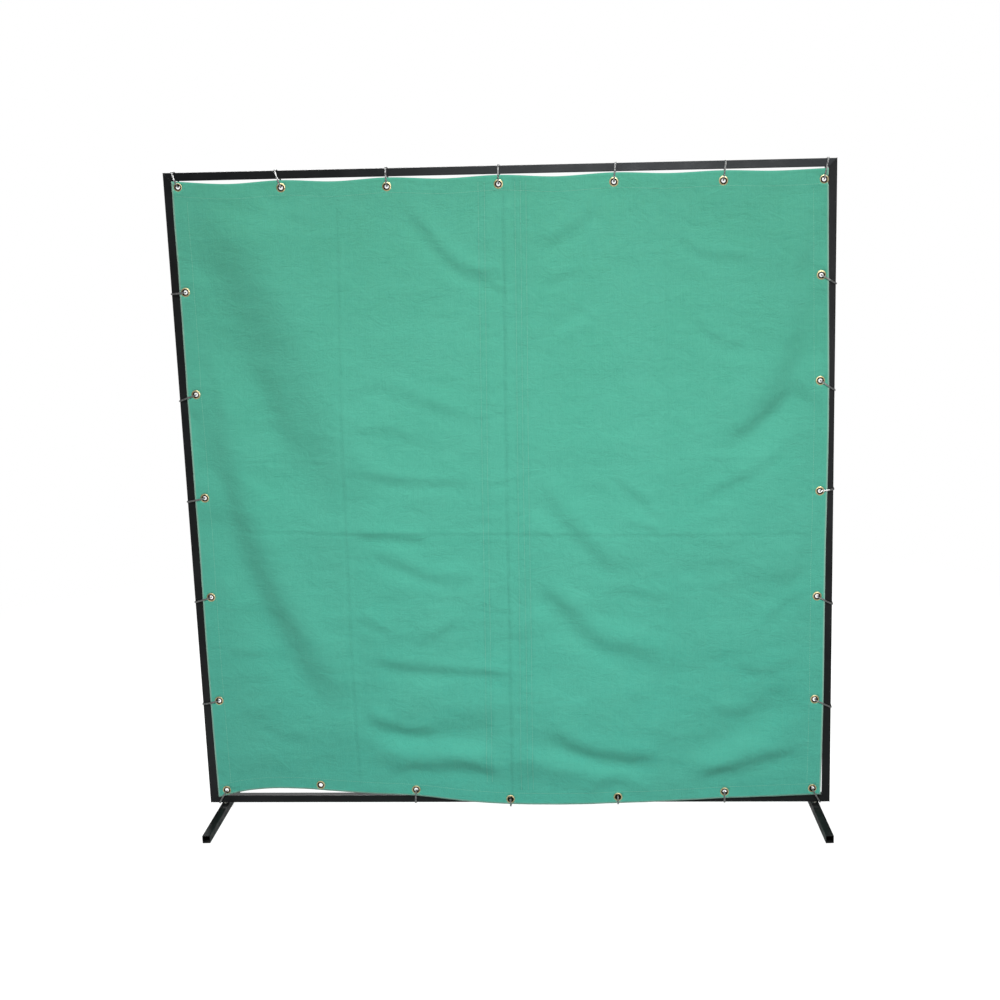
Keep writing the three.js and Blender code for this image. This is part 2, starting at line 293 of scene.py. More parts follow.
def zinc(name, bright, dull):
    """Zinc on steel, spangled between two greys."""
    g = Graph(name)
    spangle = g.between(g.noise(240.0, 5, 0.6), 0.3, 0.7)
    colour = g.mix(spangle, bright, dull)
    rough = g.between(g.noise(150.0, 4), 0.3, 0.7, 0.26, 0.44)
    return g.surface(Base_Color=colour, Metallic=1.0, Roughness=rough, Normal=g.bump(spangle, 0.0001, 0.4))


# ---------------------------------------------------------------- mesh helpers


def new_object(name, verts, faces, material):
    mesh = bpy.data.meshes.new(name)
    mesh.from_pydata([tuple(map(float, v)) for v in verts], [], faces)
    mesh.materials.append(material)
    mesh.validate()
    mesh.polygons.foreach_set("use_smooth", [True] * len(mesh.polygons))
    obj = bpy.data.objects.new(name, mesh)
    bpy.context.scene.collection.objects.link(obj)
    return obj


def ride(obj, replaces=()):
    """Put a piece on the screen's body, and hide the CAD nodes it stands for."""
    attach(obj, SCREEN)
    if replaces:
        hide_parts(*replaces)
    return obj


def lathe(profile, segments):
    """Rings round the Y axis from a closed (radius, depth) profile."""
    count = len(profile)
    verts = []
    for k in range(segments):
        c, s = math.cos(math.tau * k / segments), math.sin(math.tau * k / segments)
        verts += [(r * c, y, r * s) for r, y in profile]
    faces = []
    for k in range(segments):
        a, b = k * count, (k + 1) % segments * count
        faces += [(a + i, a + (i + 1) % count, b + (i + 1) % count, b + i) for i in range(count)]
    return verts, faces


# ---------------------------------------------------------------- the curtain's outline and its relief
# Edges in metres from the frame's bottom centre, as (along, across) points.
TOP_EDGE = [(-.890, 1.806), (-.732, 1.796), (-.589, 1.803), (-.444, 1.797), (-.299, 1.804),
            (-.147, 1.798), (.005, 1.804), (.161, 1.797), (.317, 1.804), (.464, 1.799), (.611, 1.803),
            (.745, 1.799), (.891, 1.803)]
BOTTOM_EDGE = [(-.887, .020), (-.812, .038), (-.740, .046), (-.631, .045), (-.541, .038),
               (-.400, .029), (-.297, .023), (-.150, .006), (-.051, -.002), (.100, -.005),
               (.298, -.001), (.609, .014), (.887, .025)]
LEFT_EDGE = [(.020, -.887), (.289, -.890), (.742, -.890), (1.178, -.891), (1.480, -.890), (1.806, -.890)]
RIGHT_EDGE = [(.025, .887), (.281, .892), (.720, .894), (1.130, .899), (1.560, .894), (1.797, .891)]


def smooth_curve(points):
    """Cubic through the points, as a function of the first coordinate."""
    t = np.array([p[0] for p in points])
    v = np.array([p[1] for p in points])
    slope = np.gradient(v, t)

    def at(s):
        s = np.clip(s, t[0], t[-1])
        i = np.clip(np.searchsorted(t, s) - 1, 0, len(t) - 2)
        gap = t[i + 1] - t[i]
        f = (s - t[i]) / gap
        f2, f3 = f * f, f * f * f
        return ((2 * f3 - 3 * f2 + 1) * v[i] + (f3 - 2 * f2 + f) * gap * slope[i]
                + (3 * f2 - 2 * f3) * v[i + 1] + (f3 - f2) * gap * slope[i + 1])
    return at


top_edge, bottom_edge = smooth_curve(TOP_EDGE), smooth_curve(BOTTOM_EDGE)
left_edge, right_edge = smooth_curve(LEFT_EDGE), smooth_curve(RIGHT_EDGE)


def step(value, low, high):
    """0 below low, 1 above high, smooth between."""
    f = np.clip((value - low) / (high - low), 0, 1)
    return f * f * (3 - 2 * f)


def along_line(x, z, points):
    """Signed distance to a polyline (positive to its left) and the place along it from 0 to 1."""
    p = np.array(points, float)
    lengths = np.hypot(*(p[1:] - p[:-1]).T)
    total = lengths.sum()
    best = np.full(x.shape, 1e9)
    signed = np.zeros(x.shape)
    place = np.zeros(x.shape)
    start = 0.0
    for a, b, length in zip(p[:-1], p[1:], lengths):
        d = (b - a) / length
        u, v = x - a[0], z - a[1]
        t = np.clip(u * d[0] + v * d[1], 0, length)
        du, dv = u - t * d[0], v - t * d[1]
        distance = np.hypot(du, dv)
        near = distance < best
        best = np.where(near, distance, best)
        signed = np.where(near, np.sign(d[0] * dv - d[1] * du) * distance, signed)
        place = np.where(near, (start + t) / total, place)
        start += length
    return signed, place


def rounded_line(points, rounds=2):
    """Chaikin's corner cutting, which keeps both ends."""
    for _ in range(rounds):
        cut = [points[0]]
        for (ax, az), (bx, bz) in zip(points[:-1], points[1:]):
            cut += [(0.75 * ax + 0.25 * bx, 0.75 * az + 0.25 * bz),
                    (0.25 * ax + 0.75 * bx, 0.25 * az + 0.75 * bz)]
        points = cut + [points[-1]]
    return points


# Folds, in millimetres: width, depth and the points of the line. A positive depth makes the cloth stand forward
# on the line's left and back on its right, and a negative one the other way round.
FOLDS = [
    (38, 13.0, [(-860, 1330), (-830, 1080), (-785, 890), (-710, 680), (-635, 515), (-540, 350),
                (-465, 270)]),
    (66, 13.0, [(-850, 1760), (-775, 1640), (-710, 1500), (-650, 1345), (-590, 1180), (-515, 1000),
                (-455, 850)]),
    (24, 3.0, [(-700, 1330), (-640, 1190), (-600, 1060)]),
    (14, 2.0, [(-840, 1345), (-785, 1120)]),
    (14, 1.6, [(-780, 1755), (-710, 1740), (-615, 1720), (-480, 1685)]),
    (15, 3.2, [(-270, 1750), (-205, 1665), (-140, 1580), (-70, 1535), (15, 1530)]),
    (8, 1.0, [(-35, 1515), (30, 1480)]),
    (15, -2.6, [(285, 1735), (210, 1660), (110, 1610)]),
    (10, -1.3, [(235, 1555), (110, 1505)]),
    (12, 1.5, [(475, 1655), (520, 1595), (600, 1570), (695, 1575)]),
    (36, -12.0, [(885, 1790), (862, 1620), (845, 1430), (800, 1265), (700, 1130), (600, 1040)]),
    (22, -4.0, [(880, 900), (850, 760), (790, 640)]),
    (16, 2.0, [(-420, 1240), (-290, 1225), (-160, 1160), (-90, 1140)]),
    (14, 1.6, [(-430, 1100), (-330, 1115), (-250, 1085)]),
    (14, -1.8, [(110, 1330), (180, 1400), (260, 1420)]),
    (13, 1.5, [(520, 1420), (600, 1340), (680, 1330)]),
    (12, 1.8, [(300, 985), (360, 915), (420, 880)]),
    (12, -1.6, [(-760, 1010), (-690, 940), (-640, 900)]),
    (13, 1.6, [(-760, 250), (-690, 215), (-600, 205)]),
    (12, 1.4, [(-840, 480), (-770, 455), (-700, 460)]),
    (12, 1.6, [(560, 300), (640, 270), (700, 280)]),
    (16, 2.6, [(600, 1065), (690, 1115), (780, 1195), (850, 1250)]),
    (14, 2.0, [(515, 875), (615, 950), (710, 985), (835, 1095)]),
    (14, 2.6, [(-440, 1010), (-360, 975), (-220, 955), (-75, 965)]),
    (12, 3.0, [(-450, 815), (-325, 805), (-220, 795)]),
    (15, 3.0, [(-420, 760), (-315, 725), (-200, 675), (-80, 680)]),
    (12, 1.8, [(-445, 575), (-340, 520)]),
    (14, 3.6, [(-430, 430), (-215, 408), (-60, 400), (20, 380)]),
    (12, 1.6, [(-255, 500), (-135, 560)]),
    (24, -8.0, [(-430, 205), (-355, 185), (-220, 180), (-30, 170)]),
    (16, 5.4, [(-450, 290), (-380, 240), (-300, 215), (-220, 222)]),
    (18, 5.0, [(-405, 95), (-225, 120), (-105, 110), (-20, 75)]),
    (20, 6.0, [(80, 260), (160, 175), (275, 140), (445, 135)]),
    (22, -6.5, [(-10, 190), (70, 145), (245, 100), (430, 65)]),
    (18, 5.0, [(495, 70), (685, 130), (865, 175)]),
    (28, -8.5, [(480, 110), (685, 200), (845, 310)]),
    (24, 6.5, [(60, 680), (120, 625), (170, 570), (240, 490), (340, 460), (450, 445)]),
    (22, 4.0, [(85, 960), (170, 840), (260, 745), (330, 700)]),
    (9, 1.6, [(330, 845), (440, 810)]),
    (12, 1.6, [(270, 645), (355, 640), (465, 615)]),
    (14, 2.0, [(625, 420), (730, 395), (840, 445)]),
    (14, 2.2, [(700, 505), (770, 595), (855, 640)]),
]
# Creases pressed in by packing, given in the same way.
CREASES = [
    (5, 1.1, [(-435, 1755), (-450, 1340), (-460, 915), (-465, 470), (-460, 60)]),
    (5, -0.9, [(455, 1770), (455, 1325), (465, 905), (465, 465), (470, 85)]),
    (4, -0.5, [(-585, 1760), (-590, 1605)]),
    (5, 0.8, [(-790, 830), (-425, 815), (5, 810), (430, 805), (880, 805)]),
    (4, 0.5, [(-805, 1030), (-485, 1020)]),
    (4, 0.5, [(475, 1020), (850, 1020)]),
]
# Seams down the middle: the right panel laps over the left one, and both are stitched.
LAP_EDGE = [(20, 1765), (5, 1050), (-10, 20)]
SEAM_ROWS = [
    [(-50, 1790), (-65, 1050), (-85, 60)],
    [(-33, 1790), (-50, 1050), (-70, 60)],
    [(50, 1790), (35, 1050), (15, 40)],
    [(65, 1790), (50, 1050), (35, 40)],
    [(80, 1790), (65, 1050), (50, 40)],
]
# Heights of the puckers that the seams have drawn into the left panel, in millimetres.
PUCKERS = [1550, 1455, 1370, 1290, 1225, 1150, 1040, 958, 905, 850, 790, 680, 585, 505, 400, 330, 220]
TOP_HEM, SIDE_HEM, BOTTOM_HEM = 0.0440, 0.0445, 0.0385
STITCH_IN = 0.004                                 # from a hem's inner edge to its stitches


def metres(points):
    return [(x / 1000, z / 1000) for x, z in points]


NOISE_SPAN, NOISE_LEFT, NOISE_BOTTOM = 2.4, -1.1, -0.2


def make_noise(seed, cell_x, cell_z):
    """Smooth value noise over the cloth, from a seeded lattice."""
    generator = np.random.RandomState(seed)
    lattice = generator.uniform(-1, 1, (int(NOISE_SPAN / cell_x) + 4, int(NOISE_SPAN / cell_z) + 4))

    def at(x, z):
        gx, gz = (x - NOISE_LEFT) / cell_x, (z - NOISE_BOTTOM) / cell_z
        i, j = gx.astype(int), gz.astype(int)
        fx, fz = gx - i, gz - j
        fx, fz = fx * fx * (3 - 2 * fx), fz * fz * (3 - 2 * fz)
        low = lattice[i, j] * (1 - fx) + lattice[i + 1, j] * fx
        high = lattice[i, j + 1] * (1 - fx) + lattice[i + 1, j + 1] * fx
        return low * (1 - fz) + high * fz
    return at


ripples = [(make_noise(3, .17, .085), .0030), (make_noise(4, .085, .045), .0018),
           (make_noise(5, .042, .024), .0008)]
swell = make_noise(6, .42, .36)
SWELL_HEIGHT = 0.009
FOLD_STRENGTH, FOLD_SPREAD, CREASE_STRENGTH = 1.05, 1.35, 0.9
PUCKER_HEIGHT, PUCKER_WIDTH = 0.0008, 0.009
LAP_HEIGHT, LAP_GROOVE, LAP_GROOVE_WIDTH = 0.0010, 0.0008, 0.0035
SEAM_BAND_HEIGHT = 0.0004
STITCH_DENT, STITCH_DENT_WIDTH = 0.00045, 0.0028

fold_lines = [(FOLD_SPREAD * w / 1000, a / 1000, rounded_line(metres(p))) for w, a, p in FOLDS]
crease_lines = [(w / 1000, a / 1000, metres(p)) for w, a, p in CREASES]
lap_line = metres(LAP_EDGE)
seam_lines = [metres(row) for row in SEAM_ROWS]


def wave(distance, width):
    """One smooth rise and fall across a line, 1 high at one width from it."""
    return (distance / width) * np.exp(0.5 - 0.5 * (distance / width) ** 2)


def relief(x, z):
    """How far the cloth stands forward of its flat place, for arrays of x and z from the frame's bottom."""
    h = np.zeros(x.shape)
    for width, depth, points in fold_lines:
        s, t = along_line(x, z, points)
        ends = step(t, 0, 0.22) * (1 - step(t, 0.8, 1.0))
        h += FOLD_STRENGTH * depth * ends * wave(s, width)
    for width, depth, points in crease_lines:
        s, t = along_line(x, z, points)
        ends = step(t, 0, 0.03) * (1 - step(t, 0.97, 1.0))
        h += CREASE_STRENGTH * depth * ends * wave(s, width)
    more_below = 1.25 - 0.55 * z
    for noise, amount in ripples:
        h += amount * more_below * noise(x, z)
    h += SWELL_HEIGHT * swell(x, z)
    for k, level in enumerate(PUCKERS):
        reach, droop = 28 * math.sin(5.1 * k), 9 * math.sin(2.3 * k)
        size = 0.55 + 0.40 * math.sin(3.7 * k + 1)
        line = metres([(-95 - reach, level + droop), (-40, level), (2, level - 0.5 * droop)])
        s, t = along_line(x, z, line)
        h += PUCKER_HEIGHT * size * wave(s, PUCKER_WIDTH) * step(t, 0, 0.4) * (1 - step(t, 0.8, 1))
    s, _ = along_line(x, z, lap_line)
    h += LAP_HEIGHT * step(s, -0.002, 0.0012) * (1 - step(s, 0.05, 0.075))
    h -= LAP_GROOVE * np.exp(-((s + 0.003) / LAP_GROOVE_WIDTH) ** 2)
    h += SEAM_BAND_HEIGHT * np.exp(-((x - 0.02 + 0.02 * (z - 1)) / 0.05) ** 4)
    for row in seam_lines:
        s, _ = along_line(x, z, row)
        h -= STITCH_DENT * np.exp(-(s / STITCH_DENT_WIDTH) ** 2)
    return h


EDGE_SHARE, EDGE_REACH = 0.35, 0.16               # relief left at the edges, and how far in it is whole
GROMMET_CALM = (0.026, 0.085)                     # it also grows from nothing between these distances
BACK_LIMIT, BACK_SLOPE = 0.0016, 0.4              # how far back the cloth may go by the tubes
TOP_HEM_RISE, HEM_RISE = 0.0005, 0.0003
HEM_DENT, HEM_DENT_WIDTH = 0.0004, 0.0022


def edge_distances(x, z):
    """Distances in from the left, right, lower and upper edges."""
    return (x - left_edge(z), right_edge(z) - x, z - bottom_edge(x), top_edge(x) - z)


def cloth_forward(x, z):
    """Relief with the hems added, eased to nothing at the grommets and held off the tubes."""
    h = relief(x, z)
    left, right, low, high = edge_distances(x, z)
    border = np.minimum(np.minimum(left, right), np.minimum(low, high))
    h *= EDGE_SHARE + (1 - EDGE_SHARE) * step(border, 0.0, EDGE_REACH)
    for place in GROMMETS.values():
        d = np.hypot(x - place.x, z - (place.z - FRAME_BOTTOM))
        h *= step(d, *GROMMET_CALM)
    inside_rails = np.minimum(z - TUBE, FRAME_TOP - FRAME_BOTTOM - TUBE - z)
    inside_tubes = np.minimum(inside_rails, FRAME_HALF - TUBE - np.abs(x))
    furthest_back = -BACK_LIMIT - BACK_SLOPE * np.clip(inside_tubes - 0.004, 0, 1)
    h = np.maximum(h, furthest_back)
    h += TOP_HEM_RISE * (1 - step(high, TOP_HEM - 0.001, TOP_HEM + 0.0015))
    other_hems = [(left, SIDE_HEM), (right, SIDE_HEM), (low, BOTTOM_HEM)]
    for distance, width in other_hems:
        h += HEM_RISE * (1 - step(distance, width - 0.001, width + 0.002))
    for distance, width in [*other_hems, (high, TOP_HEM)]:
        h -= HEM_DENT * np.exp(-((distance - width + STITCH_IN) / HEM_DENT_WIDTH) ** 2)
    return h


CLOTH_LEFT, CLOTH_BOTTOM, CLOTH_SPAN = -0.89, 0.02, 1.78


def grid_points(columns, rows):
    """Points over the cloth in columns and rows that follow its edges."""
    u, v = np.meshgrid(np.linspace(0, 1, columns), np.linspace(0, 1, rows), indexing="ij")
    nominal_x, nominal_z = CLOTH_LEFT + CLOTH_SPAN * u, CLOTH_BOTTOM + CLOTH_SPAN * v
    xl, xr = left_edge(nominal_z), right_edge(nominal_z)
    zb, zt = bottom_edge(nominal_x), top_edge(nominal_x)
    return xl + u * (xr - xl), zb + v * (zt - zb)


COLUMNS, ROWS = 321, 325
TOP_HEM_CELLS, SIDE_HEM_CELLS, BOTTOM_HEM_CELLS = 8, 8, 7
HOLE_RADIUS = 0.0085                              # of the holes in the cloth, which the grommets cover
NEAR_HOLE = 0.03
PALE_EDGE = (0.0015, 0.0050)                      # the cut edge's paleness ends between these distances


def cloth_grid():
    """The grid over the whole cloth: x, z, which points lie outside the holes, and how far forward each is."""
    x, z = grid_points(COLUMNS, ROWS)
    keep = np.ones(x.shape, bool)
    holes = [(p.x, p.z - FRAME_BOTTOM) for p in GROMMETS.values()]
    owner = np.full(x.shape, -1)
    for k, (hole_x, hole_z) in enumerate(holes):
        d = np.hypot(x - hole_x, z - hole_z)
        keep &= d > HOLE_RADIUS
        owner = np.where(d < NEAR_HOLE, k, owner)
    # The points next to each hole move onto its rim.
    rim = np.zeros(x.shape, bool)
    for di in (-1, 0, 1):
        for dj in (-1, 0, 1):
            rim |= ~np.roll(np.roll(keep, di, 0), dj, 1)
    rim &= keep
    for i, j in zip(*np.nonzero(rim)):
        hole_x, hole_z = holes[owner[i, j]]
        d = math.hypot(x[i, j] - hole_x, z[i, j] - hole_z)
        x[i, j] = hole_x + (x[i, j] - hole_x) * HOLE_RADIUS / d
        z[i, j] = hole_z + (z[i, j] - hole_z) * HOLE_RADIUS / d
    return x, z, keep, cloth_forward(x, z)


def cloth_piece(name, grid, columns=(0, COLUMNS), rows=(0, ROWS), behind=0.0):
    """One layer of canvas over a range of the grid, a given distance behind the front layer."""
    x, z, keep, h = (values[slice(*columns), slice(*rows)] for values in grid)
    index = np.full(x.shape, -1)
    index[keep] = np.arange(keep.sum())
    verts = np.stack([x, SHEET_Y + behind - h, z + FRAME_BOTTOM], -1)[keep]
    i, j = np.nonzero(keep[:-1, :-1] & keep[1:, :-1] & keep[1:, 1:] & keep[:-1, 1:])
    faces = np.stack([index[i, j], index[i + 1, j], index[i + 1, j + 1], index[i, j + 1]], -1).tolist()
    obj = new_object(name, verts, faces, CANVAS)
    left, right, low, _ = edge_distances(x, z)
    border = np.minimum(np.minimum(left, right), low)
    pale = 1 - step(border, *PALE_EDGE)
    for label, values in (("edge_paleness", pale), ("painted_line_shade", painted_line_shade(x, z))):
        attribute = obj.data.attributes.new(label, "FLOAT", "POINT")
        attribute.data.foreach_set("value", values[keep].astype(np.float32))
    solid = obj.modifiers.new("canvas_thickness", "SOLIDIFY")
    solid.thickness = LAYER
    solid.offset = 0
    return ride(obj)


# Painted shade along lines, darkening the cloth where the lap's edge, the stitch rows and the pressed creases
# would shade it: how much, and how wide.
LAP_SHADE, CREASE_SHADE, SEAM_SHADE = (0.42, 0.0040), (0.13, 0.0036), (0.25, 0.0045)
SHADE_PER_DEPTH = 140                              # shallow creases get less painted shade


def painted_line_shade(x, z):
    """How much painted shade the lap's edge, the stitch rows and the pressed creases get, from 0 to 1."""
    s, _ = along_line(x, z, lap_line)
    amount, width = LAP_SHADE
    painted_shade = amount * np.exp(-((s + 0.0025) / width) ** 2)
    most, width = CREASE_SHADE
    for _, depth, points in crease_lines:
        s, _ = along_line(x, z, points)
        amount = min(most, SHADE_PER_DEPTH * abs(depth))
        painted_shade = np.maximum(painted_shade, amount * np.exp(-(s / width) ** 2))
    amount, width = SEAM_SHADE
    for row in seam_lines:
        s, _ = along_line(x, z, row)
        painted_shade = np.maximum(painted_shade, amount * np.exp(-(s / width) ** 2))
    return painted_shade


def surface_points(points, gap):
    """Points on the cloth, gap in front of its middle, for (x, z) pairs."""
    x, z = (np.array(c, float) for c in zip(*points))
    return np.stack([x, SHEET_Y - cloth_forward(x, z) - gap, z + FRAME_BOTTOM], -1)


STITCH_LENGTH, STITCH_PITCH, STITCH_RADIUS, STITCH_GAP = 0.0042, 0.0058, 0.00042, 0.00012
SPINDLE_SIDES = 6


def make_stitching(name, lines, lift):
    """Rows of separate stitches, each a small spindle lying a given lift in front of the cloth's middle."""
    verts, faces = [], []
    places = []
    for line in lines:
        p = np.array(line, float)
        seg = np.hypot(*(p[1:] - p[:-1]).T)
        total = seg.sum()
        at = np.concatenate([[0], np.cumsum(seg)])
        start = np.arange(0.004, total - 0.004, STITCH_PITCH)
        for offset in (0.0, STITCH_LENGTH / 2, STITCH_LENGTH):
            places.append(np.stack([np.interp(start + offset, at, p[:, k]) for k in range(2)], -1))
    thirds = [surface_points(np.concatenate(places[k::3]), lift) for k in range(3)]
    for a, b, c in zip(*thirds):
        d = c - a
        d = d / np.linalg.norm(d)
        side = np.cross(d, (0, 1, 0))
        base = len(verts)
        verts.append(a)
        for middle, r in ((a * 0.75 + b * 0.25, STITCH_RADIUS * 0.85), (b, STITCH_RADIUS),
                          (c * 0.75 + b * 0.25, STITCH_RADIUS * 0.85)):
            for k in range(SPINDLE_SIDES):
                w = math.tau * k / SPINDLE_SIDES
                verts.append(middle + r * (math.cos(w) * side + math.sin(w) * np.array((0, 1, 0))))
        verts.append(c)
        rings = [base + 1 + SPINDLE_SIDES * k for k in range(3)]
        tip = rings[2] + SPINDLE_SIDES
        for k in range(SPINDLE_SIDES):
            after = (k + 1) % SPINDLE_SIDES
            faces.append((base, rings[0] + after, rings[0] + k))
            faces += [(o + k, o + after, o + SPINDLE_SIDES + after, o + SPINDLE_SIDES + k) for o in rings[:2]]
            faces.append((tip, rings[2] + k, rings[2] + after))
    return ride(new_object(name, verts, faces, THREAD))


CANVAS = canvas("green_canvas_duck")
THREAD = thread("pale_green_thread", (0.30, 0.60, 0.46), (0.20, 0.50, 0.37))
BRASS = brass("tarnished_brass")
NYLON = natural_nylon("natural_nylon")
ZINC = zinc("zinc_plate", (0.60, 0.62, 0.64), (0.46, 0.47, 0.46))
WIRE_METAL = zinc("galvanised_wire", (0.62, 0.63, 0.63), (0.36, 0.36, 0.35))

grid = cloth_grid()
curtain = cloth_piece("green_canvas_curtain", grid)
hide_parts("curtain")

# The hems are turned to the back and stitched.
side_rows = (BOTTOM_HEM_CELLS, ROWS - TOP_HEM_CELLS)
hem_pieces = [
    cloth_piece("top_hem", grid, rows=(ROWS - 1 - TOP_HEM_CELLS, ROWS), behind=HEM_DEPTH),
    cloth_piece("bottom_hem", grid, rows=(0, BOTTOM_HEM_CELLS + 1), behind=HEM_DEPTH),
    cloth_piece("left_hem", grid, (0, SIDE_HEM_CELLS + 1), side_rows, HEM_DEPTH),
    cloth_piece("right_hem", grid, (COLUMNS - 1 - SIDE_HEM_CELLS, COLUMNS), side_rows, HEM_DEPTH),
]
across = np.linspace(-0.884, 0.884, 240)
upward = np.linspace(0.06, 1.755, 220)

stitch_rows = [
    [(x, float(top_edge(x)) - TOP_HEM + STITCH_IN) for x in across],
    [(x, float(bottom_edge(x)) + BOTTOM_HEM - STITCH_IN) for x in across],
    [(float(left_edge(z)) + SIDE_HEM - STITCH_IN, z) for z in upward],
    [(float(right_edge(z)) - SIDE_HEM + STITCH_IN, z) for z in upward],
    *seam_lines,
]
front_stitches = make_stitching("front_stitching", stitch_rows, LAYER / 2 + STITCH_GAP)
back_stitches = make_stitching("back_stitching", stitch_rows, -(LAYER / 2 + HEM_DEPTH + STITCH_GAP))

# ---------------------------------------------------------------- grommets
# Millimetres round the ring, as (radius, depth): the throat, the front flange, the cloth's slot and the washer.
GROMMET_PROFILE = [
    (5.60, 0.4), (5.60, -0.4), (5.85, -1.05), (6.4, -1.60), (7.2, -1.92), (8.2, -2.02), (9.3, -1.92),
    (10.6, -1.62), (11.8, -1.28), (12.5, -1.12), (12.8, -0.92), (12.6, -0.74), (6.5, -0.74),
    (6.5, 0.74), (12.6, 0.74), (12.8, 0.90), (12.5, 1.06), (10.8, 1.20), (8.8, 1.42), (7.4, 1.60),
    (6.5, 1.52), (5.85, 1.10),
]
RING_SEGMENTS = 44
ring_verts, ring_faces = lathe([(r / 1000, y / 1000) for r, y in GROMMET_PROFILE], RING_SEGMENTS)
grommet_mesh = None
for node, place in GROMMETS.items():
    if grommet_mesh is None:
        grommet = new_object(node + "_rolled", ring_verts, ring_faces, BRASS)
        grommet_mesh = grommet.data
    else:
        grommet = bpy.data.objects.new(node + "_rolled", grommet_mesh)
        bpy.context.scene.collection.objects.link(grommet)
    grommet.location = place
    grommet.rotation_euler = (0, rng.uniform(0, math.tau), 0)
    ride(grommet, replaces=(node,))

# ---------------------------------------------------------------- hard parts


def dress(node, material):
    """Give a CAD part a material and leave its shape alone."""
    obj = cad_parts[node]
    obj.data.materials.clear()
    obj.data.materials.append(material)


for node in ("left_post", "right_post", "bottom_rail"):
    dress(node, black_enamel(node + "_enamel", *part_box(node)))
dress("top_rail", black_enamel("top_rail_enamel", *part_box("top_rail"), painted_reflection_span=(-0.55, 0.35)))
FOOT_SWING = {"left": 2.5, "right": 4.5}          # degrees, seen from above
for side, swing in FOOT_SWING.items():
    pivot = centre(f"{side}_pivot_spacer")
    dress(f"{side}_foot", foot_enamel(f"{side}_foot_enamel", pivot, swing))
    dress(f"{side}_pivot_nut", ZINC)
    dress(f"{side}_pivot_spacer", NYLON)

SHANK_RADIUS, HEAD_HEIGHT = 0.0029, 0.0033
SOCKET_HALF_FLAT, SOCKET_DEPTH = 0.0020, 0.0019
BOLT_SEGMENTS = 24


def socket_bolt(side):
    """Button-head bolt with its hexagon socket, in place of the plain one."""
    low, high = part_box(f"{side}_pivot_bolt")
    middle = (low + high) / 2
    shank_low, head_top = low.z, high.z
    head_radius = (high.x - low.x) / 2
    seat = head_top - HEAD_HEIGHT
    rings = [(0.0022, shank_low), (SHANK_RADIUS, shank_low + 0.0007), (SHANK_RADIUS, seat),
             (head_radius - 0.0002, seat), (head_radius, seat + 0.0003), (head_radius, seat + 0.0008),
             (head_radius * 0.93, seat + 0.0016), (head_radius * 0.78, seat + 0.0025),
             (head_radius * 0.58, seat + 0.0031), (head_radius * 0.46, head_top)]
    count = BOLT_SEGMENTS
    turns = [math.tau * k / count for k in range(count)]
    verts = [(radius * math.cos(angle), radius * math.sin(angle), z) for radius, z in rings for angle in turns]
    for z in (head_top - 0.0002, head_top - SOCKET_DEPTH):
        for angle in turns:
            reach = SOCKET_HALF_FLAT / math.cos((angle + math.pi / 6) % (math.pi / 3) - math.pi / 6)
            verts.append((reach * math.cos(angle), reach * math.sin(angle), z))
    layers = len(rings) + 2
    faces = []
    for layer in range(layers - 1):
        a, b = layer * count, (layer + 1) * count
        faces += [(a + k, a + (k + 1) % count, b + (k + 1) % count, b + k) for k in range(count)]
    verts += [(0, 0, shank_low), (0, 0, head_top - 0.0022)]
    last = (layers - 1) * count
    faces += [((k + 1) % count, k, layers * count) for k in range(count)]
    faces += [(last + k, last + (k + 1) % count, layers * count + 1) for k in range(count)]
    verts = [(x + middle.x, y + middle.y, z) for x, y, z in verts]
    bolt = new_object(f"{side}_pivot_socket_bolt", verts, faces, ZINC)
    bolt.data.set_sharp_from_angle(angle=math.radians(35))
    ride(bolt, replaces=(f"{side}_pivot_bolt",))


for side in ("left", "right"):
    socket_bolt(side)


WIRE_SIDES = 8


def swept(points, radius, closed=False):
    """Round wire along points, of one radius or a list of them, without twist from one point to the next."""
    p = [Vector(q) for q in points]
    n, sides = len(p), WIRE_SIDES
    radii = radius if isinstance(radius, list) else [radius] * n
    normal = None
    verts, faces = [], []
    for i in range(n):
        before = p[i - 1] if closed or i else p[i]
        after = p[(i + 1) % n] if closed or i < n - 1 else p[i]
        ahead = (after - before).normalized()
        if normal is None:
            normal = ahead.orthogonal().normalized()
        normal = (normal - normal.dot(ahead) * ahead).normalized()
        other = ahead.cross(normal)
        for k in range(sides):
            angle = math.tau * k / sides
            verts.append(p[i] + radii[i] * (math.cos(angle) * normal + math.sin(angle) * other))
    for i in range(n if closed else n - 1):
        a, b = i * sides, (i + 1) % n * sides
        faces += [(a + k, a + (k + 1) % sides, b + (k + 1) % sides, b + k) for k in range(sides)]
    if not closed:
        faces.append(tuple(reversed(range(sides))))
        faces.append(tuple(range((n - 1) * sides, n * sides)))
    return verts, faces


def bent(corners, radius, steps=6):
    """The corners joined by straight runs and arcs, as a closed list of points."""
    points = []
    n = len(corners)
    for i, corner in enumerate(corners):
        start = corner.lerp(corners[i - 1], radius / (corner - corners[i - 1]).length)
        end = corner.lerp(corners[(i + 1) % n], radius / (corner - corners[(i + 1) % n]).length)
        for k in range(steps + 1):
            f = k / steps
            points.append(start * (1 - f) ** 2 + corner * 2 * f * (1 - f) + end * f * f)
    return points


# Wire ties: two strands side by side round the tube and through the grommet, with twisted ends at the back.
WIRE = 0.00115                                    # radius of a strand
STRAND_SHIFT = 1.03 * WIRE                        # of each strand, from the middle of the pair
REACH = 0.0017                                    # from the tube's face to the wire's middle
BEND = 0.003
CAD_WIRE = 0.0014                                 # radius of the CAD's tie
TWIST_TURNS, TWIST_POINTS = 2.4, 30
TWIST_LENGTH, TWIST_RADIUS, TWIST_DROOP = 0.0148, 0.0013, 0.002
LEAST_INNER = 0.0065                              # how far in a tie reaches before it goes behind the tube
